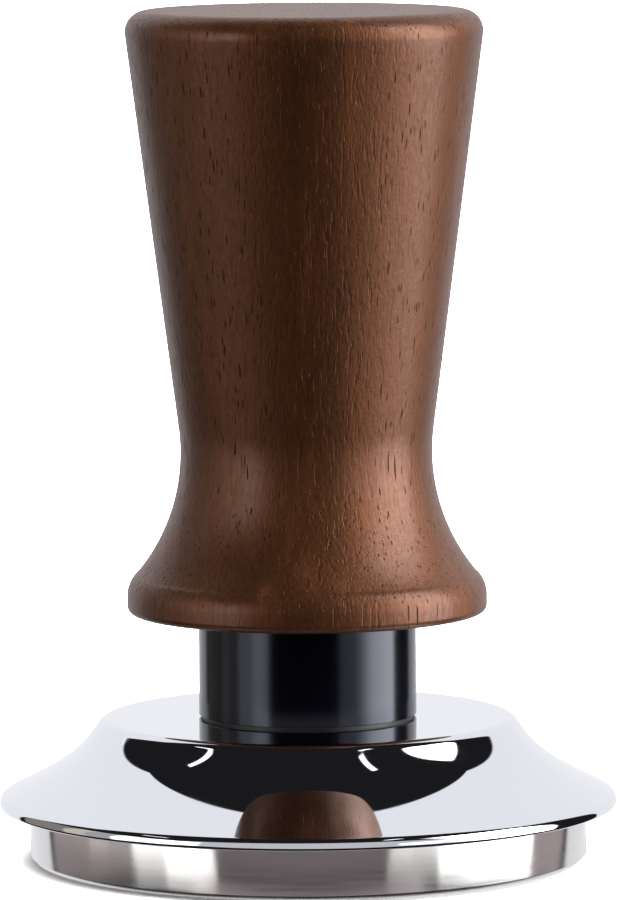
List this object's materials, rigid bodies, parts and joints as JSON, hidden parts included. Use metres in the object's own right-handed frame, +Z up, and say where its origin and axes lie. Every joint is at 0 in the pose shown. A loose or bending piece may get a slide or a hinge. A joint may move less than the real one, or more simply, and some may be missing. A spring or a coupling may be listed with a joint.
{
  "type": "espresso tamper",
  "caption": "Spring-loaded espresso tamper: tapered walnut handle, black guide collar, mirror levelling flange that rides up the stem, and flat stainless tamping base.",
  "frame": {"origin": "centre of the flat tamping face", "axes": "+Z up along the common turning axis, from the tamping face to the top of the handle; X and Y are equivalent"},
  "size_m": [0.0648, 0.0648, 0.0888],
  "materials": {
    "brushed_stainless": "turned and brushed round the side",
    "plain_stainless": "machined",
    "spring_steel": "drawn wire, satin",
    "polished_chrome": "mirror polished",
    "black_anodised": "black anodised, satin",
    "bare_aluminium": "turned",
    "bronze": "turned",
    "black_rubber": "matte",
    "white_acetal": "smooth",
    "walnut": "oiled walnut, satin"
  },
  "bodies": {
    "base": {"tamping_base": "brushed_stainless", "stem": "plain_stainless", "stem_seal": "black_rubber", "flange_buffer": "white_acetal", "circlip": "spring_steel", "upper_spring_washer": "plain_stainless", "preload_shim": "plain_stainless", "bumper_ring": "black_rubber", "main_spring": "spring_steel", "levelling_spring": "spring_steel"},
    "handle_carrier": {"thrust_washer": "bronze"},
    "handle": {"wooden_handle": "walnut", "handle_liner": "bare_aluminium", "threaded_insert": "bronze", "tie_bolt": "plain_stainless", "bolt_washer": "plain_stainless"},
    "flange_carrier": {"lower_spring_washer": "plain_stainless"},
    "flange": {"levelling_flange": "polished_chrome", "collar_gasket": "black_rubber", "guide_collar": "black_anodised", "flange_bush": "white_acetal"}
  },
  "joints": [
    {"name": "handle_press", "type": "slide", "parent": "base", "child": "handle_carrier", "axis": [0, 0, -1], "range_m": [0, 0.004], "stiffness_N_per_m": 12000, "springref_m": -0.008, "deforming": ["main_spring"]},
    {"name": "handle_spin", "type": "hinge", "parent": "handle_carrier", "child": "handle", "pos_m": [0, 0, 0.0579], "axis": [0, 0, 1], "continuous": true},
    {"name": "flange_lift", "type": "slide", "parent": "base", "child": "flange_carrier", "axis": [0, 0, 1], "range_m": [0, 0.0045], "stiffness_N_per_m": 250, "springref_m": -0.012, "deforming": ["levelling_spring"]},
    {"name": "flange_spin", "type": "hinge", "parent": "flange_carrier", "child": "flange", "pos_m": [0, 0, 0.0148], "axis": [0, 0, 1], "continuous": true}
  ]
}
